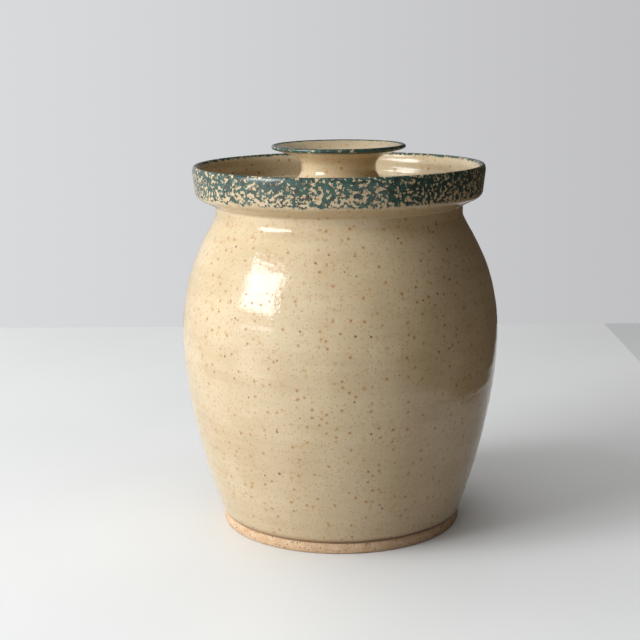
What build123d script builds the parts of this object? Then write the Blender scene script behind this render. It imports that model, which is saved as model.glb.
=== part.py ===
from build123d import *
import os
from math import cos, radians, sin

# Water-seal fermenting crock in thrown stoneware: crock, lid and two half-moon weights.
# Millimetres. Z is the pot's own axis and points up, and the foot stands on Z = 0.
# Outlines are drawn as (radius, height) points and turned about Z, as on the wheel.

# Crock, outside
crock_height = 247.5  # foot to the crest of the rim
belly_radius = 108.4
belly_height = 131.0  # of the widest ring
foot_outset = 14.7  # edge of the level floor inside out to the foot's side
foot_band = 7.0  # bare clay between the table and the edge of the glaze
foot_bevel = 0.8
glaze_roll = 0.9  # how far the glaze's lower edge stands out from the foot
neck_outset = 4.9  # lid's skirt out to the crease between shoulder and rim
neck_lean = 8.0  # degrees from upright where the shoulder reaches the neck
neck_upright = 6.5  # upright stretch below the crease
collar_height = 27.0  # rim crest down to that crease

# Crock, inside and below
wall = 7.0
floor = 8.5
floor_cove = 14.0  # reach of the curve from the floor into the wall
floor_play = 2.8  # level floor that shows outside the weights
foot_recess = 2.5
foot_ring = 12.0  # width of the ring that the pot stands on

# Rim that holds the water of the seal
moat_width = 13.3  # lid's skirt out to the rim's inner lip
rim_thickness = 6.6
rim_flare = 1.6  # how much wider the rim is at its lip than at its lower corner
rim_lip = 4.0  # height of the rounded lip
rim_crest_inset = 1.6  # how far the crest stands in from the lip's outer edge
flange_rise = 9.5  # neck crease up to where the rim stands upright
flange_slope = 26.2  # degrees above level of the flange's straight underside
flange_straight = 0.72  # share of the flange's run that is straight
rim_lean = 4.0  # degrees that the rim leans out
moat_depth = 28.5  # rim crest down to the channel's floor
moat_margin = 0.75  # level floor that shows outside the lid's skirt
moat_floor = 5.5  # clay under the channel

# Mouth
mouth_radius = 68.0
mouth_wall = 5.5
mouth_depth = 20.5  # rim crest down to the mouth's lip
mouth_corner = 4.0  # rounding where the inside steps in to the mouth

# Lid
lid_gap = 1.5  # around the mouth, on the radius
lid_wall = 4.0
lid_headroom = 1.2  # mouth's lip to the underside of the lid
lid_plate = 5.0
lid_dome = 2.0  # rise of the lid's top from its shoulder to the knob
lid_dome_slope = 4.0  # degrees above level where the dome meets the knob
lid_shoulder = 2.5  # rounding of the lid's outer edge
lid_inner_corner = 2.0
notch_width = 12.0
notch_height = 4.0
notches = 2

# Knob, a hollow flared cup
knob_height = 27.3  # lid's shoulder up to the crest of the knob
knob_rim_radius = 45.3
knob_foot_radius = 30.0
knob_waist_radius = 25.3
knob_waist_rise = 11.8  # lid's shoulder up to the waist
knob_wall = 4.6
knob_lip = 2.8  # thickness of the knob's rim
knob_flare = 18.0  # degrees above level of the rim's underside
knob_foot_lean = 25.0  # degrees that the knob's foot leans in
cup_floor = 2.5  # rise of the cup's bottom above the lid's shoulder
cup_corner = 5.0  # rounding between the cup's wall and its bottom

# Weights
weight_thickness = 14.0
weight_play = 3.0  # all round, on the radius, as the weights pass the mouth
weight_split = 3.0  # between the two straight edges
weight_edge = 2.0
finger_hole = 20.0
finger_hole_inset = 30.0  # pot's axis to the hole's centre

# Fullness of each curve: how far it holds its heading at its start and at its end,
# as shares of its own rise, or of its run where it lies flatter than it stands.
# The lower wall leaves the foot on a slant, with a share of its run and one of its rise.
lower_wall_fullness = (0.9094, 0.5074, 0.10)
shoulder_fullness = (0.62, 0.09)
inner_shoulder_fullness = (0.08, 0.50)
inner_wall_fullness = 0.42
rim_corner_fullness = (0.18, 0.24)
outer_lip_fullness = (0.55, 0.65)
inner_lip_fullness = (0.55, 0.50)
moat_fullness = (0.68, 0.39)
knob_foot_fullness = (0.30, 0.35)
knob_flare_fullness = (0.62, 0.72)
cup_flare_fullness = (0.72, 0.55)
cup_bottom_fullness = (0.60, 0.60)
lid_dome_fullness = (0.45, 0.27)

# Heights and radii that follow
neck_height = crock_height - collar_height
moat_height = crock_height - moat_depth
mouth_height = crock_height - mouth_depth
interior_floor = foot_recess + floor
mouth_outer = mouth_radius + mouth_wall
lid_inner = mouth_outer + lid_gap
lid_outer = lid_inner + lid_wall
lid_underside = mouth_height + lid_headroom
lid_top = lid_underside + lid_plate
neck_radius = lid_outer + neck_outset
rim_radius = lid_outer + moat_width + rim_thickness
weight_radius = mouth_radius - weight_play
floor_radius = weight_radius + floor_play
foot_radius = floor_radius + foot_outset

# Headings on an outline, in degrees from outward and turning up
OUT, UP, IN, DOWN = 0, 90, 180, 270


def curve(start, start_heading, start_reach, end, end_heading, end_reach):
    """A smooth bend that leaves start and arrives at end on the given headings."""
    out_x = start[0] + start_reach * cos(radians(start_heading))
    out_z = start[1] + start_reach * sin(radians(start_heading))
    in_x = end[0] - end_reach * cos(radians(end_heading))
    in_z = end[1] - end_reach * sin(radians(end_heading))
    return Bezier(start, (out_x, out_z), (in_x, in_z), end)


def turned(edges):
    """The solid of revolution of a closed (radius, height) outline."""
    outline = Plane.XZ * make_face(Curve() + edges)
    return revolve(outline, Axis.Z)


def crock_foot():
    """The underside: a shallow recess inside a flat foot ring, and the bare foot band."""
    ring_inner = foot_radius - foot_ring
    base = Polyline(
        (0, interior_floor),
        (0, foot_recess),
        (ring_inner - foot_recess, foot_recess),
        (ring_inner, 0),
        (foot_radius - foot_bevel, 0),
        (foot_radius, foot_bevel),
        (foot_radius, foot_band),
    )
    glaze_edge = CenterArc((foot_radius, foot_band + glaze_roll), glaze_roll, DOWN, 90)
    return [*base.edges(), glaze_edge]


def crock_wall():
    """The outside from the edge of the glaze, over the belly, to the crease of the neck."""
    start = (foot_radius + glaze_roll, foot_band + glaze_roll)
    belly = (belly_radius, belly_height)
    neck = (neck_radius, neck_height - neck_upright)
    low_out, low_up, low_end = lower_wall_fullness
    low_rise = belly_height - start[1]
    slant = (start[0] + low_out * (belly_radius - start[0]), start[1] + low_up * low_rise)
    high, high_end = (share * (neck[1] - belly_height) for share in shoulder_fullness)
    return [
        Bezier(start, slant, (belly_radius, belly_height - low_end * low_rise), belly),
        curve(belly, UP, high, neck, UP + neck_lean, high_end),
        Line(neck, (neck_radius, neck_height)),
    ]


def crock_rim():
    """The flange that runs out from the crease, the upright rim and the water channel."""
    crease = (neck_radius, neck_height)
    corner = (rim_radius - rim_flare, neck_height + flange_rise)
    run = corner[0] - neck_radius
    slope_end = (neck_radius + flange_straight * run, neck_height + flange_rise / 2)
    lip = (rim_radius, crock_height - rim_lip)
    crest = (rim_radius - rim_crest_inset, crock_height)
    inner_lip = (rim_radius - rim_thickness, crock_height - 2 * rim_lip)
    crest_run = crest[0] - inner_lip[0]
    # The channel's floor is level as far as the lid's skirt needs. Its outer side leaves the
    # floor upright, which keeps the clay thick over the crease.
    moat_edge = (lid_outer + moat_margin, moat_height)
    moat_rise = inner_lip[1] - moat_height
    slope, rise = rim_corner_fullness
    lip_rise, lip_run = outer_lip_fullness
    top_run, top_drop = inner_lip_fullness
    moat_drop, moat_end = moat_fullness
    return [
        Line(crease, slope_end),
        curve(slope_end, flange_slope, slope * run, corner, UP - rim_lean, rise * flange_rise),
        Line(corner, lip),
        curve(lip, UP, lip_rise * rim_lip, crest, IN, lip_run * rim_crest_inset),
        curve(crest, IN, top_run * crest_run, inner_lip, DOWN, top_drop * 2 * rim_lip),
        curve(inner_lip, DOWN, moat_drop * moat_rise, moat_edge, DOWN, moat_end * moat_rise),
        Line(moat_edge, (mouth_outer, moat_height)),
    ]


def crock_inside():
    """The mouth's rounded lip, the step under the channel, and the inside to the floor."""
    lip = mouth_wall / 2
    lip_base = mouth_height - lip
    step_height = moat_height - moat_floor
    corner_height = step_height + mouth_corner
    step = (mouth_radius + mouth_corner, step_height)
    belly = (belly_radius - wall, belly_height)
    foot = (floor_radius, interior_floor)
    out_share, up_share = inner_shoulder_fullness
    rise = step_height - belly_height
    return [
        Line((mouth_outer, moat_height), (mouth_outer, lip_base)),
        CenterArc((mouth_outer - lip, lip_base), lip, OUT, 180),
        Line((mouth_radius, lip_base), (mouth_radius, corner_height)),
        CenterArc((step[0], corner_height), mouth_corner, IN, 90),
        curve(step, OUT, out_share * rise, belly, DOWN, up_share * rise),
        curve(belly, DOWN, inner_wall_fullness * (belly_height - interior_floor), foot, IN, floor_cove),
        Line(foot, (0, interior_floor)),
    ]


def crock_body():
    """One thrown vessel: foot, wall, rim with its water channel, and mouth."""
    return turned([*crock_foot(), *crock_wall(), *crock_rim(), *crock_inside()])


def knob():
    """Outline of the knob from the lid's dome, over its thin lip, to the bottom of its cup."""
    foot = (knob_foot_radius, lid_top + lid_dome)
    waist = (knob_waist_radius, lid_top + knob_waist_rise)
    lip = knob_lip / 2
    centre = (knob_rim_radius - lip, lid_top + knob_height - lip)

    # The lip is half a ring, set square to the flare.
    square_x = lip * sin(radians(knob_flare))
    square_z = lip * cos(radians(knob_flare))
    lip_start = (centre[0] + square_x, centre[1] - square_z)
    lip_end = (centre[0] - square_x, centre[1] + square_z)
    cup_waist = (knob_waist_radius - knob_wall, waist[1])
    cup_end = (cup_waist[0] - cup_corner, lid_top + cup_floor)

    run = knob_rim_radius - knob_waist_radius
    waist_share, flare_share = knob_flare_fullness
    cup_flare_share, cup_waist_share = cup_flare_fullness
    foot_reach, foot_end = (share * knob_waist_rise for share in knob_foot_fullness)
    flare_rise = waist_share * (lip_start[1] - waist[1])
    cup_rise = cup_waist_share * (lip_end[1] - waist[1])
    bottom_reach = cup_bottom_fullness[0] * (cup_waist[1] - cup_end[1])
    bottom_end = cup_bottom_fullness[1] * cup_corner
    return [
        curve(foot, UP + knob_foot_lean, foot_reach, waist, UP, foot_end),
        curve(waist, UP, flare_rise, lip_start, knob_flare, flare_share * run),
        CenterArc(centre, lip, knob_flare - 90, 180),
        curve(lip_end, IN + knob_flare, cup_flare_share * run, cup_waist, DOWN, cup_rise),
        curve(cup_waist, DOWN, bottom_reach, cup_end, IN, bottom_end),
        Line(cup_end, (0, lid_top + cup_floor)),
    ]


def lid():
    """An inverted shallow bowl that stands in the channel, with the knob fired onto it."""
    inner_start = lid_inner - lid_inner_corner
    inner_base = lid_underside - lid_inner_corner
    shoulder_start = lid_outer - lid_shoulder
    dome_run = shoulder_start - knob_foot_radius
    edge_share, knob_share = lid_dome_fullness
    shoulder_end = (shoulder_start, lid_top)
    dome_end = (knob_foot_radius, lid_top + lid_dome)
    edge_reach = edge_share * dome_run
    knob_reach = knob_share * dome_run
    bowl = [
        Line((0, lid_top + cup_floor), (0, lid_underside)),
        Line((0, lid_underside), (inner_start, lid_underside)),
        CenterArc((inner_start, inner_base), lid_inner_corner, UP, -90),
        Line((lid_inner, inner_base), (lid_inner, moat_height)),
        Line((lid_inner, moat_height), (lid_outer, moat_height)),
        Line((lid_outer, moat_height), (lid_outer, lid_top - lid_shoulder)),
        CenterArc((shoulder_start, lid_top - lid_shoulder), lid_shoulder, OUT, 90),
        curve(shoulder_end, IN, edge_reach, dome_end, IN - lid_dome_slope, knob_reach),
    ]
    body = turned([*bowl, *knob()])

    # Gas leaves through small notches in the skirt's lower edge, under the water.
    mid_skirt = lid_inner + lid_wall / 2
    cutter = Box(3 * lid_wall, notch_width, 2 * notch_height)
    body -= [
        Rot(0, 0, 360 * turn / notches) * Pos(mid_skirt, 0, moat_height) * cutter
        for turn in range(notches)
    ]
    return body


def is_hole_rim(edge, side):
    """Whether an edge is one of the two circles where a weight's finger hole comes out."""
    if edge.geom_type != GeomType.CIRCLE:
        return False
    offset = abs(edge.arc_center.X - side * finger_hole_inset)
    return offset < 0.01 and abs(edge.radius - finger_hole / 2) < 0.01


def weight(side):
    """Half of a pierced disc that passes the mouth and lies on the floor; side is -1 or 1."""
    blank = Pos(0, 0, interior_floor) * Cylinder(
        weight_radius, weight_thickness, align=(Align.CENTER, Align.CENTER, Align.MIN)
    )
    reach = 2 * weight_radius
    keep = Pos(side * (weight_split + reach) / 2, 0, interior_floor) * Box(
        reach, reach, 3 * weight_thickness
    )
    hole = Pos(side * finger_hole_inset, 0, interior_floor) * Cylinder(
        finger_hole / 2, 3 * weight_thickness
    )
    half = fillet((blank & keep).edges(), weight_edge) - hole
    return fillet(half.edges().filter_by(lambda edge: is_hole_rim(edge, side)), weight_edge)


nodes = {
    "crock_body": crock_body(),
    "lid": lid(),
    "weight_left": weight(-1),
    "weight_right": weight(1),
}

os.makedirs("parts", exist_ok=True)
for name, solid in nodes.items():
    solid.label = name
    export_step(solid, f"parts/{name}.step")
    box = solid.bounding_box()
    print(name, "from", box.min, "to", box.max)
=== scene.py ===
from math import cos, pi, radians, sin

import bpy
from mathutils import Matrix, Vector, geometry


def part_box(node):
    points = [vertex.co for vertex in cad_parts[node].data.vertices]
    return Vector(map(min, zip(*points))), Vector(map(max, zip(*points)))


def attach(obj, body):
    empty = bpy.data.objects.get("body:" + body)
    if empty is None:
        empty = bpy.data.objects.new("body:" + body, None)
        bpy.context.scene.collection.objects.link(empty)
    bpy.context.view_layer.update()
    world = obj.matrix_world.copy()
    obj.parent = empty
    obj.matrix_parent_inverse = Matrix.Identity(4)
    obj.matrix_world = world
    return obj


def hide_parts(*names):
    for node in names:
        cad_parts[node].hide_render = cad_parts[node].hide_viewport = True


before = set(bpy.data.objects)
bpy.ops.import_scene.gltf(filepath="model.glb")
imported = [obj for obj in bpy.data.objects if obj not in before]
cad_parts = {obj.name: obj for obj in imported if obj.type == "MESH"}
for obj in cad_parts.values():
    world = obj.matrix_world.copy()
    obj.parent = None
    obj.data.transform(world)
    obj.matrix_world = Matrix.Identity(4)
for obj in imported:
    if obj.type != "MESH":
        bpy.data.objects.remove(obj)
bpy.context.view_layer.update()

# The size that every piece has to keep to, measured before anything is added.
pot_low, pot_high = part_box("crock_body")
lid_low, lid_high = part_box("lid")
bpy.ops.object.select_all(action="DESELECT")


# Camera: a long lens a little above the rim, looking down on the crock from the front, with the
# crock standing slightly right of the middle of the frame.
camera_distance = 0.9155
camera_height = 0.3294
camera_tilt = radians(90 - 11.72)
camera_turn = 0.015
camera_roll = -0.0104
camera_lens = 75.94
bpy.ops.object.camera_add(location=(0, -camera_distance, camera_height))
camera = bpy.context.object
camera.name = "camera"
camera.rotation_euler = (
    Matrix.Rotation(camera_turn, 3, "Z")
    @ Matrix.Rotation(camera_tilt, 3, "X")
    @ Matrix.Rotation(camera_roll, 3, "Z")
).to_euler()
camera.data.sensor_width = 36
camera.data.lens = camera_lens
camera.data.clip_start = 0.05
bpy.context.scene.camera = camera
# The glaze and clay colours are chosen for the Standard view transform.
bpy.context.scene.view_settings.view_transform = "Standard"


# Table: a pale, slightly worn painted top that the crock stands on. It ends a short way behind
# the crock, and runs far out on the other sides.
table_back = 0.64
table_reach = 3.0


class Wire:
    """An output of one material's nodes, so that a mask is written as a sum of others."""

    def __init__(self, tree, socket):
        self.tree = tree
        self.socket = socket

    def node(self, kind, settings=None, output=0, **values):
        """Adds any other node to the same material."""
        return add_node(self.tree, kind, settings, output, **values)

    def math(self, operation, *others):
        numbers = {f"in_{place}": other for place, other in enumerate(others)}
        return self.node("ShaderNodeMath", {"operation": operation}, **numbers)

    def __add__(self, other):
        return self.math("ADD", self, other)

    __radd__ = __add__

    def __mul__(self, other):
        return self.math("MULTIPLY", self, other)

    __rmul__ = __mul__

    def __sub__(self, other):
        return self.math("SUBTRACT", self, other)

    def __rsub__(self, other):
        return self.math("SUBTRACT", other, self)

    def other(self, output):
        """Another output of the same node."""
        return Wire(self.tree, self.socket.node.outputs[output])

    def step(self, low, high):
        """Rises smoothly from 0 to 1 as this goes from low to high, or falls if low is larger."""
        ease = {"interpolation_type": "SMOOTHSTEP"}
        return self.node("ShaderNodeMapRange", ease, Value=self, From_Min=low, From_Max=high)

    def mix(self, under, over):
        """Colour under where this is 0, and colour over where it is 1."""
        colours = {"data_type": "RGBA"}
        return self.node("ShaderNodeMix", colours, 2, in_0=self, in_6=under, in_7=over)


def add_node(tree, kind, settings=None, output=0, **values):
    """Adds a node; in_3 names its fourth input, and From_Min the one called From Min."""
    node = tree.nodes.new(kind)
    for name, value in (settings or {}).items():
        setattr(node, name, value)
    for name, value in values.items():
        place = int(name[3:]) if name.startswith("in_") else name.replace("_", " ")
        socket = node.inputs[place]
        if isinstance(value, Wire):
            tree.links.new(value.socket, socket)
        elif socket.type == "RGBA":
            socket.default_value = (*value, 1)
        else:
            socket.default_value = value
    return Wire(tree, node.outputs[output]) if node.outputs else None


def noise(place, size, detail=2.0, roughness=0.5):
    """Soft random values around a half, with features of about the given size in metres."""
    return place.node(
        "ShaderNodeTexNoise", Vector=place, Scale=1 / size, Detail=detail, Roughness=roughness
    )


def new_material(name):
    """An empty material, and the wire that carries a point's place on the object."""
    material = bpy.data.materials.new(name)
    material.use_nodes = True
    material.node_tree.nodes.clear()
    return material, add_node(material.node_tree, "ShaderNodeTexCoord", output="Object")


def finish_material(place, height, **values):
    """Ends a material in one surface shader, with height as its fine relief in metres."""
    normal = place.node("ShaderNodeBump", Strength=1.0, Distance=1.0, Height=height)
    surface = place.node("ShaderNodeBsdfPrincipled", Normal=normal, **values)
    place.node("ShaderNodeOutputMaterial", Surface=surface)


def painted_top():
    """Flat off-white paint with a faint broad unevenness, which throws little light back up."""
    material, place = new_material("painted_top")
    worn = noise(place, 0.25).step(0.3, 0.7)
    colour = worn.mix((0.79, 0.81, 0.82), (0.76, 0.78, 0.79))
    thrown_back = place.node("ShaderNodeLightPath", output="Is Diffuse Ray")
    colour = thrown_back.mix(colour, (0.34, 0.30, 0.25))
    finish_material(place, noise(place, 0.004) * 0.00002, Base_Color=colour, Roughness=0.42)
    return material


bpy.ops.mesh.primitive_plane_add(size=1)
table = bpy.context.object
table.name = "table"
bpy.ops.object.mode_set(mode="EDIT")
bpy.ops.transform.resize(value=(2 * table_reach, table_reach + table_back, 1))
bpy.ops.transform.translate(value=(0, (table_back - table_reach) / 2, 0))
bpy.ops.object.mode_set(mode="OBJECT")
table.data.materials.append(painted_top())


# Room: a tall window on the left, a high one above it and a strip of light under its sill, a pale
# wall behind the table, and a dark side to the right that the glaze mirrors.
window_far = 2.4


def window_light(name, turn, low, high, width, power):
    """A flat light as far away as the window, between two heights, facing the crock."""
    place = Vector((window_far * sin(turn), -window_far * cos(turn), (low + high) / 2))
    bpy.ops.object.light_add(type="AREA", location=place)
    light = bpy.context.object
    light.name = name
    light.data.shape = "RECTANGLE"
    light.data.size = width
    light.data.size_y = high - low
    light.data.energy = power
    light.rotation_euler = (-place).to_track_quat("-Z", "Y").to_euler()


window_light("window", radians(-62), 0.60, 1.65, 1.31, 52)
window_light("window_top", radians(-72), 3.00, 3.80, 1.00, 26)
window_light("window_sill", radians(-60), 0.16, 0.29, 1.09, 3)

# A broad lamp over the table lifts its shadow and leaves the crock alone.
bpy.ops.object.light_add(type="SUN", location=(0, 0, 2))
table_lamp = bpy.context.object
table_lamp.name = "table_lamp"
table_lamp.data.energy = 1.12
table_lamp.data.angle = radians(70)
table_only = bpy.data.collections.new("table_only")
table_only.objects.link(table)
table_lamp.light_linking.receiver_collection = table_only

dark_side_far = 0.31
dark_side_front = -0.45
dark_side_back = 1.2
dark_side_height = 1.6
bpy.ops.mesh.primitive_plane_add(size=1, location=(0, 0, 0))
dark_side = bpy.context.object
dark_side.name = "dark_side"
bpy.ops.object.mode_set(mode="EDIT")
bpy.ops.transform.rotate(value=pi / 2, orient_axis="Y", center_override=(0, 0, 0))
bpy.ops.transform.resize(value=(1, dark_side_back - dark_side_front, dark_side_height))
bpy.ops.transform.translate(
    value=(dark_side_far, (dark_side_front + dark_side_back) / 2, dark_side_height / 2)
)
bpy.ops.object.mode_set(mode="OBJECT")
unlit, unlit_place = new_material("unlit_room")
finish_material(unlit_place, 0.0, Base_Color=(0.030, 0.017, 0.007), Roughness=0.9)
dark_side.data.materials.append(unlit)
dark_side.visible_camera = False
dark_side.visible_shadow = False

# The camera sees the pale wall, with painted shade darkening it towards the right. Everything else is
# lit by the room from the left and above.
world = bpy.data.worlds.new("room")
bpy.context.scene.world = world
world.use_nodes = True
world.node_tree.nodes.clear()
toward = add_node(world.node_tree, "ShaderNodeTexCoord", output="Generated")
across = toward.node("ShaderNodeSeparateXYZ", Vector=toward)
upward = across.other("Z")
# The wall's colour runs from pale on the left to darker on the right: painted shade, away from the
# window's light.
wall_colour_with_painted_shade = across.step(-0.35, 0.35).mix((0.705, 0.712, 0.73), (0.515, 0.515, 0.527))
depth = across.other("Y")
left_behind = (across * 0.8 - depth * 0.6).step(-0.3, -1.0)
front_left = (across * 0.77 + depth * 0.64).step(-0.35, -1.0) * upward.step(0.75, 0.35)
room_light = left_behind * 0.7 + front_left * 1.05 + upward.step(0.6, 0.97) * 0.40
seen = toward.node("ShaderNodeLightPath", output="Is Camera Ray")
lit = toward.node("ShaderNodeBackground", Color=(1.0, 0.99, 0.97), Strength=room_light)
backdrop = toward.node("ShaderNodeBackground", Color=wall_colour_with_painted_shade, Strength=1.0)
both = toward.node("ShaderNodeMixShader", in_0=seen, in_1=lit, in_2=backdrop)
toward.node("ShaderNodeOutputWorld", Surface=both)


# Crock: one stoneware vessel thrown on the wheel, glazed inside and out, and fired once more
# after its rim was sponged with green. The foot ring and its edge are wiped back to bare clay.
OUT, UP, IN, DOWN = 0, 90, 180, 270
turns = 256
weight_low, weight_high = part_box("weight_right")
floor_height = weight_low.z
lid_outer = lid_high.x
lid_skirt = 0.004
lid_gap = 0.0015
mouth_outer = lid_outer - lid_skirt - lid_gap
mouth_lip = 0.0055 / 2
mouth_radius = mouth_outer - 2 * mouth_lip
mouth_depth = 0.0205
mouth_height = pot_high.z - mouth_depth
mouth_corner = 0.004
moat_height = lid_low.z
moat_floor = 0.0055
step_height = moat_height - moat_floor
rim_reach = 0.0199
rim_radius = lid_outer + rim_reach
rim_flare = 0.0016
rim_crest = rim_radius - rim_flare
rim_thickness = 0.0066
rim_lip = 0.004
neck_outset = 0.0049
neck_radius = lid_outer + neck_outset
collar_height = 0.027
neck_height = pot_high.z - collar_height
neck_upright = 0.0065
flange_slope = 26.2
flange_rise = 0.0095
belly = (pot_high.x, 0.131)
wall = 0.007
floor_play = 0.0028
floor_radius = weight_high.x + floor_play
foot_outset = 0.0147
foot_radius = floor_radius + foot_outset
foot_band = 0.007
foot_recess = 0.0025
foot_ring = 0.012
ring_inner = foot_radius - foot_ring


def bend(outline, heading, reach, end, end_heading, end_reach, steps):
    """Carries a (radius, height) outline on by a smooth bend that leaves and arrives as asked."""
    start = Vector(outline[-1])
    leave = start + reach * Vector((cos(radians(heading)), sin(radians(heading))))
    arrive = Vector(end) - end_reach * Vector((cos(radians(end_heading)), sin(radians(end_heading))))
    points = geometry.interpolate_bezier(start, leave, arrive, Vector(end), steps + 1)
    outline.extend((point.x, point.y) for point in points[1:])


def run_to(outline, end, steps=1):
    """Carries an outline on by a straight run."""
    start = Vector(outline[-1])
    outline.extend(tuple(start.lerp(Vector(end), step / steps)) for step in range(1, steps + 1))


def round_to(outline, heading, end, end_heading, steps=6):
    """Carries an outline on by a quarter round."""
    reach = 0.39 * (Vector(end) - Vector(outline[-1])).length
    bend(outline, heading, reach, end, end_heading, reach, steps)


def turn_on_wheel(name, outline):
    """Draws an outline as a chain of edges and spins it round the pot's axis into a closed skin."""
    radius, height = outline[0]
    bpy.ops.mesh.primitive_plane_add(size=0.002, location=(radius, 0, height))
    piece = bpy.context.object
    piece.name = name
    bpy.ops.object.mode_set(mode="EDIT")
    bpy.ops.mesh.merge(type="CENTER")
    for next_radius, next_height in outline[1:]:
        move = (next_radius - radius, 0, next_height - height)
        bpy.ops.mesh.extrude_region_move(TRANSFORM_OT_translate={"value": move})
        radius, height = next_radius, next_height
    bpy.ops.mesh.select_all(action="SELECT")
    bpy.ops.mesh.spin(steps=turns, angle=2 * pi, center=(0, 0, 0), axis=(0, 0, 1))
    bpy.ops.mesh.select_all(action="SELECT")
    bpy.ops.mesh.remove_doubles(threshold=0.00001)
    bpy.ops.mesh.normals_make_consistent(inside=False)
    bpy.ops.object.mode_set(mode="OBJECT")
    bpy.ops.object.transform_apply(location=True)
    bpy.ops.object.shade_smooth_by_angle(angle=radians(35))
    return piece


def uneven(piece, size, depth, stretch=(1, 1, 1), group=""):
    """Presses soft hollows and swells into a piece, of the given size and full depth."""
    texture = bpy.data.textures.new(piece.name + "_unevenness", "CLOUDS")
    texture.noise_scale = 1.0
    bpy.ops.object.empty_add()
    guide = bpy.context.object
    guide.scale = [size * share for share in stretch]
    bpy.ops.object.select_all(action="DESELECT")
    bpy.context.view_layer.update()
    bpy.context.view_layer.objects.active = piece
    press = piece.modifiers.new("unevenness", "DISPLACE")
    press.texture = texture
    press.texture_coords = "OBJECT"
    press.texture_coords_object = guide
    press.strength = depth
    press.vertex_group = group
    bpy.ops.object.modifier_apply(modifier=press.name)
    bpy.data.objects.remove(guide)


def specks(place, cell, share, size):
    """Ragged spots of about the given size, in that share of the cells of a random lattice."""
    spots = place.node("ShaderNodeTexVoronoi", Vector=place, Scale=1 / cell)
    chance = spots.node("ShaderNodeSeparateColor", in_0=spots.other("Color"))
    reach = size / 2 / cell
    ragged = spots + (noise(place, size / 2) - 0.5) * (1.8 * reach)
    return ragged.step(reach * 1.25, reach * 0.75) * chance.step(share + 0.02, share - 0.02)


def radius_of(place):
    """How far a point is from the pot's axis."""
    level = place.node("ShaderNodeVectorMath", {"operation": "MULTIPLY"}, in_0=place, in_1=(1, 1, 0))
    return level.node("ShaderNodeVectorMath", {"operation": "LENGTH"}, "Value", in_0=level)


def glaze(place):
    """Cream glaze: colour, roughness and relief. Iron in the clay bleeds through as rusty specks."""
    colour = noise(place, 0.030, 3).step(0.35, 0.65).mix((0.61, 0.485, 0.305), (0.68, 0.56, 0.37))
    curdled = noise(place, 0.0016, 2, 0.6).step(0.35, 0.65)
    colour = (curdled * 0.22).mix(colour, (0.50, 0.375, 0.20))
    wide = {"operation": "MULTIPLY"}
    drawn_out = place.node("ShaderNodeVectorMath", wide, in_0=place, in_1=(0.04, 0.04, 1))
    rings = noise(drawn_out, 0.007, 3).step(0.3, 0.7)
    colour = (rings * 0.35).mix(colour, (0.74, 0.63, 0.43))
    crowd = noise(place, 0.022, 2)
    haze = noise(place, 0.0035, 3, 0.6).step(0.54, 0.72) * crowd.step(0.32, 0.62)
    colour = (haze * 0.45).mix(colour, (0.56, 0.32, 0.12))
    halo = specks(place, 0.0046, 0.50, 0.0026)
    colour = (halo * 0.34).mix(colour, (0.52, 0.26, 0.08))
    fine = specks(place, 0.0021, 0.60, 0.0010)
    colour = (fine * 0.46).mix(colour, (0.42, 0.19, 0.055))
    middling = specks(place, 0.0046, 0.50, 0.0014)
    colour = (middling * 0.72).mix(colour, (0.34, 0.13, 0.033))
    dark = specks(place, 0.0085, 0.40, 0.0015)
    colour = (dark * 0.85).mix(colour, (0.14, 0.055, 0.02))
    pits = middling + dark
    roughness = pits * 0.20 + noise(place, 0.009, 2) * 0.06 + 0.10
    relief = noise(place, 0.0060, 2) * 0.00012 + noise(place, 0.0021, 2) * 0.00008 - pits * 0.00005
    return colour, roughness, relief


def sponging(place, bias):
    """Where a cut sponge left green; bias above 0 covers more, and below 0 lets more cream show."""
    shift = place.node("ShaderNodeTexNoise", output="Color", Vector=place, Scale=700.0, Detail=2.0)
    pushed = {"operation": "MULTIPLY_ADD"}
    bent = place.node("ShaderNodeVectorMath", pushed, in_0=shift, in_1=(0.0018,) * 3, in_2=place)
    sponge_cell = 0.0016
    cells = bent.node("ShaderNodeTexVoronoi", Vector=bent, Scale=1 / sponge_cell)
    chance = cells.node("ShaderNodeSeparateColor", in_0=cells.other("Color"))
    clumps = noise(place, 0.0045, 3, 0.6)
    print_of_sponge = chance * 0.60 + clumps * 0.55 + noise(place, 0.0010, 2) * 0.45 + bias
    return print_of_sponge.step(0.69, 0.76)


def green_over(place, mask, colour, roughness, relief):
    """Lays the sponged green over a glaze, thick and dark in places and thin in others."""
    thick = noise(place, 0.004, 3, 0.6).step(0.3, 0.68)
    green = thick.mix((0.012, 0.105, 0.090), (0.002, 0.024, 0.027))
    return (mask * 0.95).mix(colour, green), roughness + mask * 0.05, relief + mask * 0.00006


def clay_over(place, mask, colour, roughness, relief):
    """Bares the sandy clay: grains, dark grit and a dry surface, where the mask is 1."""
    sandy = noise(place, 0.006, 3).step(0.3, 0.7).mix((0.63, 0.425, 0.25), (0.75, 0.56, 0.375))
    toast = noise(place, 0.0013, 3, 0.7).step(0.42, 0.68)
    sandy = (toast * 0.38).mix(sandy, (0.40, 0.21, 0.10))
    grit = specks(place, 0.0020, 0.55, 0.0010)
    sandy = (grit * 0.8).mix(sandy, (0.11, 0.045, 0.022))
    pale = specks(place, 0.0022, 0.30, 0.0008)
    sandy = (pale * 0.5).mix(sandy, (0.75, 0.60, 0.42))
    grain = noise(place, 0.0009, 3, 0.7) * 0.00022
    dry = mask * 0.8
    return mask.mix(colour, sandy), roughness * (1 - mask) + dry, relief * (1 - mask) + grain * mask


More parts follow.
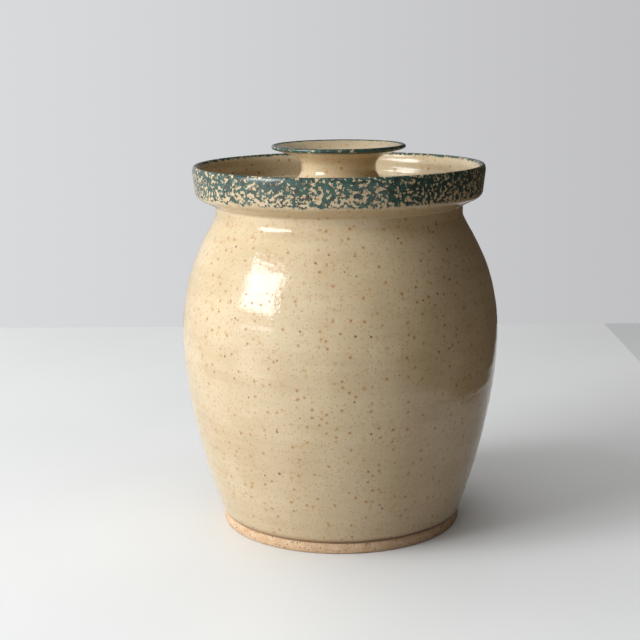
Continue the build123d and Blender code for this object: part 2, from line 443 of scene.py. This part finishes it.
def crock_glaze():
    """Cream all over, green on the rim, and bare clay under the wiped edge at the foot."""
    material, place = new_material("crock_glaze")
    height = place.node("ShaderNodeSeparateXYZ", output="Z", Vector=place)
    turned_right = place.node("ShaderNodeSeparateXYZ", output="X", Vector=place)
    colour, roughness, relief = glaze(place)

    ragged = (noise(place, 0.003, 2) - 0.5) * 0.006
    band_low = neck_height + 0.0077
    on_rim = (height + ragged).step(band_low, band_low + 0.0012)
    outer = (radius_of(place) + ragged * 0.5).step(rim_crest - 0.0030, rim_crest - 0.0022)
    bias = height.step(band_low, pot_high.z) * 0.14 - 0.02
    mask = sponging(place, bias) * on_rim * outer
    colour, roughness, relief = green_over(place, mask, colour, roughness, relief)

    wavy = height + (noise(place, 0.012, 2) - 0.5) * 0.0012
    toasted = wavy.step(foot_band + 0.0050, foot_band + 0.0012)
    colour = (toasted * 0.55).mix(colour, (0.40, 0.205, 0.075))
    # A dark line along the glaze edge above the foot: partly the glaze's own dark iron edge and
    # partly painted shade in the groove there. It is made darker towards the right side as painted
    # shade, away from the light on the left.
    edge = wavy.step(foot_band + 0.0030, foot_band + 0.0016)
    painted_shade_to_right = turned_right.step(-foot_radius, foot_radius) * 0.55 + 0.35
    colour = (edge * painted_shade_to_right).mix(colour, (0.075, 0.030, 0.012))
    bare = wavy.step(foot_band + 0.0007, foot_band + 0.0002)
    colour, roughness, relief = clay_over(place, bare, colour, roughness, relief)
    finish_material(place, relief, Base_Color=colour, Roughness=roughness)
    return material


crock_outline = [(0, foot_recess)]
run_to(crock_outline, (ring_inner - foot_recess, foot_recess))
bend(crock_outline, OUT, 0.001, (ring_inner, 0), DOWN + 50, 0.001, 4)
run_to(crock_outline, (foot_radius - 0.0012, 0))
round_to(crock_outline, OUT, (foot_radius, 0.0014), UP, 4)
bend(crock_outline, UP - 12, 0.002, (foot_radius - 0.0004, foot_band - 0.0002), UP + 20, 0.002, 6)
bend(crock_outline, UP + 40, 0.0003, (foot_radius + 0.0006, foot_band + 0.0012), UP - 20, 0.0007, 5)
bend(crock_outline, UP - 20, 0.0665, belly, UP, 0.0123, 62)
bend(crock_outline, UP, 0.0515, (neck_radius, neck_height - neck_upright), UP + 8, 0.0075, 40)
run_to(crock_outline, (neck_radius, neck_height - 0.0010), 5)
bend(crock_outline, UP, 0.0006, (neck_radius + 0.0010, neck_height + 0.0005), flange_slope, 0.0006, 4)
flange_straight = 0.00965
run_to(crock_outline, (neck_radius + flange_straight, neck_height + flange_rise / 2), 8)
flange_end = (rim_radius - rim_flare, neck_height + flange_rise)
bend(crock_outline, flange_slope, 0.0024, flange_end, UP - 4, 0.0023, 8)
run_to(crock_outline, (rim_radius, pot_high.z - rim_lip), 8)
bend(crock_outline, UP, 0.0022, (rim_crest, pot_high.z), IN, 0.0010, 8)
inner_lip = (rim_radius - rim_thickness, pot_high.z - 2 * rim_lip)
bend(crock_outline, IN, 0.0027, inner_lip, DOWN, 0.004, 12)
bend(crock_outline, DOWN, 0.0139, (lid_outer + 0.00075, moat_height + 0.0008), DOWN, 0.0074, 20)
round_to(crock_outline, DOWN, (lid_outer - 0.00005, moat_height), IN, 3)
run_to(crock_outline, (mouth_outer + 0.0012, moat_height), 3)
round_to(crock_outline, IN, (mouth_outer, moat_height + 0.0012), UP, 4)
run_to(crock_outline, (mouth_outer, mouth_height - mouth_lip), 4)
round_to(crock_outline, UP, (mouth_outer - mouth_lip, mouth_height), IN)
round_to(crock_outline, IN, (mouth_radius, mouth_height - mouth_lip), DOWN)
run_to(crock_outline, (mouth_radius, step_height + mouth_corner), 4)
round_to(crock_outline, DOWN, (mouth_radius + mouth_corner, step_height), OUT)
bend(crock_outline, OUT, 0.0066, (belly[0] - wall, belly[1]), DOWN, 0.04125, 44)
bend(crock_outline, DOWN, 0.0504, (floor_radius, floor_height), IN, 0.014, 60)
run_to(crock_outline, (0, floor_height), 6)
crock = turn_on_wheel("crock", crock_outline)

# The thrower's fingers leave low rings round the wall, and the wall is a little out of true.
thrown = crock.vertex_groups.new(name="thrown")
for vertex in crock.data.vertices:
    out = Vector((vertex.co.x, vertex.co.y, 0)).normalized().dot(vertex.normal)
    low_end = (vertex.co.z - 0.012) / 0.015
    high_end = (neck_height - 0.004 - vertex.co.z) / 0.015
    share = max(0.0, min(1.0, low_end, high_end)) if out > 0.2 else 0.0
    thrown.add([vertex.index], share, "REPLACE")
uneven(crock, 0.007, 0.00042, (12, 12, 1), "thrown")
uneven(crock, 0.055, 0.00080, (1, 1, 0.8), "thrown")
crock.data.materials.append(crock_glaze())
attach(crock, "crock")
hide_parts("crock_body")


# Lid: an inverted shallow bowl whose skirt stands in the water channel. Its knob is a flared cup
# thrown on top, with green sponged on the lip. Two notches in the skirt let gas out.
lid_inner = lid_outer - lid_skirt
knob_height = 0.0273
lid_top = lid_high.z - knob_height
lid_plate = 0.005
lid_under = lid_top - lid_plate
skirt_edge = 0.0008
knob_foot = 0.030
waist = (0.0253, lid_top + 0.0118)
cup_waist = (waist[0] - 0.0046, waist[1])
cup_bottom = lid_top + 0.0025
lip = 0.0014
flare = 18
lip_middle = Vector((0.0453 - lip, lid_high.z - lip))


def on_lip(heading):
    """The point of the knob's rounded lip whose surface faces the given heading."""
    return tuple(lip_middle + lip * Vector((cos(radians(heading)), sin(radians(heading)))))


lid_outline = [(0, lid_under)]
run_to(lid_outline, (lid_inner - 0.002, lid_under), 6)
round_to(lid_outline, OUT, (lid_inner, lid_under - 0.002), DOWN)
run_to(lid_outline, (lid_inner, lid_low.z + skirt_edge))
round_to(lid_outline, DOWN, (lid_inner + skirt_edge, lid_low.z), OUT, 4)
run_to(lid_outline, (lid_outer - skirt_edge, lid_low.z), 2)
round_to(lid_outline, OUT, (lid_outer, lid_low.z + skirt_edge), UP, 4)
run_to(lid_outline, (lid_outer, lid_top - 0.0025))
round_to(lid_outline, UP, (lid_outer - 0.0025, lid_top), IN)
bend(lid_outline, IN, 0.0209, (knob_foot, lid_top + 0.002), IN - 4, 0.0126, 30)
bend(lid_outline, UP + 25, 0.0035, waist, UP, 0.0041, 14)
bend(lid_outline, UP, 0.0079, on_lip(flare - 90), flare, 0.0144, 26)
round_to(lid_outline, flare, on_lip(flare), UP + flare)
round_to(lid_outline, UP + flare, on_lip(flare + 90), IN + flare)
bend(lid_outline, IN + flare, 0.0144, cup_waist, DOWN, 0.0085, 26)
bend(lid_outline, DOWN, 0.0056, (cup_waist[0] - 0.005, cup_bottom), IN, 0.003, 10)
run_to(lid_outline, (0, cup_bottom), 6)
lid = turn_on_wheel("lid", lid_outline)

# The two notches: the skirt's lower edge is pushed up where it crosses the X axis.
notch_height = 0.004
notch_half = 0.006
bpy.ops.object.mode_set(mode="EDIT")
bpy.ops.mesh.select_mode(type="VERT")
bpy.ops.mesh.select_all(action="DESELECT")
bpy.ops.object.mode_set(mode="OBJECT")
for vertex in lid.data.vertices:
    low = vertex.co.z < lid_low.z + 1.5 * skirt_edge
    vertex.select = low and abs(vertex.co.y) < notch_half
bpy.ops.object.mode_set(mode="EDIT")
bpy.ops.transform.translate(value=(0, 0, notch_height))
bpy.ops.object.mode_set(mode="OBJECT")


def lid_glaze():
    """Cream all over, a green edge on the knob, and bare clay where the skirt stood in the kiln."""
    material, place = new_material("lid_glaze")
    height = place.node("ShaderNodeSeparateXYZ", output="Z", Vector=place)
    colour, roughness, relief = glaze(place)
    ragged = (noise(place, 0.003, 2) - 0.5) * 0.0022
    on_edge = (radius_of(place) + ragged).step(lip_middle.x - 0.0024, lip_middle.x - 0.0018)
    high = (height + ragged).step(lid_high.z - 0.0042, lid_high.z - 0.0034)
    mask = sponging(place, 0.22) * on_edge * high
    colour, roughness, relief = green_over(place, mask, colour, roughness, relief)
    bare = height.step(lid_low.z + 0.0012, lid_low.z + 0.0006)
    colour, roughness, relief = clay_over(place, bare, colour, roughness, relief)
    finish_material(place, relief, Base_Color=colour, Roughness=roughness)
    return material


lid.data.materials.append(lid_glaze())
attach(lid, "lid")
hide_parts("lid")


# Weights: two half-moons of the same clay, cut from one rolled disc and fired bare. They hold the
# food under the brine, and each has a finger hole to lift it by.
finger_hole = 0.010
hole_inset = 0.030
weight_edge = 0.002
weight_thickness = weight_high.z - weight_low.z


def bare_clay():
    """Unglazed stoneware: sandy, gritty and dry."""
    material, place = new_material("bare_clay")
    # The noise never falls below 0, so the clay is bare all over.
    whole = noise(place, 0.02).step(-2.0, -1.0)
    colour, roughness, relief = clay_over(place, whole, (0.55, 0.34, 0.17), 0.8, 0.0)
    finish_material(place, relief, Base_Color=colour, Roughness=roughness)
    return material


def half_moon(name, side):
    """Half of a rolled disc: cut straight down the middle, holed, and its edges sponged soft."""
    middle = (weight_low.z + weight_high.z) / 2
    bpy.ops.object.select_all(action="DESELECT")
    bpy.ops.mesh.primitive_cylinder_add(
        vertices=160, radius=weight_high.x, depth=weight_thickness, location=(0, 0, middle)
    )
    piece = bpy.context.object
    piece.name = name
    bpy.ops.object.mode_set(mode="EDIT")
    bpy.ops.mesh.bisect(
        plane_co=(side * weight_low.x, 0, 0), plane_no=(side, 0, 0), use_fill=True, clear_inner=True
    )
    bpy.ops.object.mode_set(mode="OBJECT")
    bpy.ops.mesh.primitive_cylinder_add(
        vertices=64, radius=finger_hole, depth=2 * weight_thickness,
        location=(side * hole_inset, 0, middle),
    )
    drill = bpy.context.object
    bpy.context.view_layer.objects.active = piece
    hole = piece.modifiers.new("finger_hole", "BOOLEAN")
    hole.object = drill
    hole.solver = "EXACT"
    bpy.ops.object.modifier_apply(modifier=hole.name)
    bpy.data.objects.remove(drill)
    soft = piece.modifiers.new("soft_edges", "BEVEL")
    soft.width = weight_edge
    soft.segments = 4
    soft.limit_method = "ANGLE"
    soft.angle_limit = radians(40)
    bpy.ops.object.modifier_apply(modifier=soft.name)
    clay = piece.modifiers.new("clay", "REMESH")
    clay.mode = "VOXEL"
    clay.voxel_size = 0.0011
    bpy.ops.object.modifier_apply(modifier=clay.name)
    rubbed = piece.modifiers.new("rubbed", "SMOOTH")
    rubbed.iterations = 4
    bpy.ops.object.modifier_apply(modifier=rubbed.name)
    piece.select_set(True)
    bpy.ops.object.transform_apply(location=True)
    uneven(piece, 0.016, 0.00035)
    bpy.context.view_layer.objects.active = piece
    piece.select_set(True)
    bpy.ops.object.shade_smooth()
    return piece


clay_finish = bare_clay()
for side_name, side in (("left", -1), ("right", 1)):
    half = half_moon(f"half_moon_{side_name}", side)
    half.data.materials.append(clay_finish)
    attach(half, f"{side_name}_weight")
    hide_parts(f"weight_{side_name}")
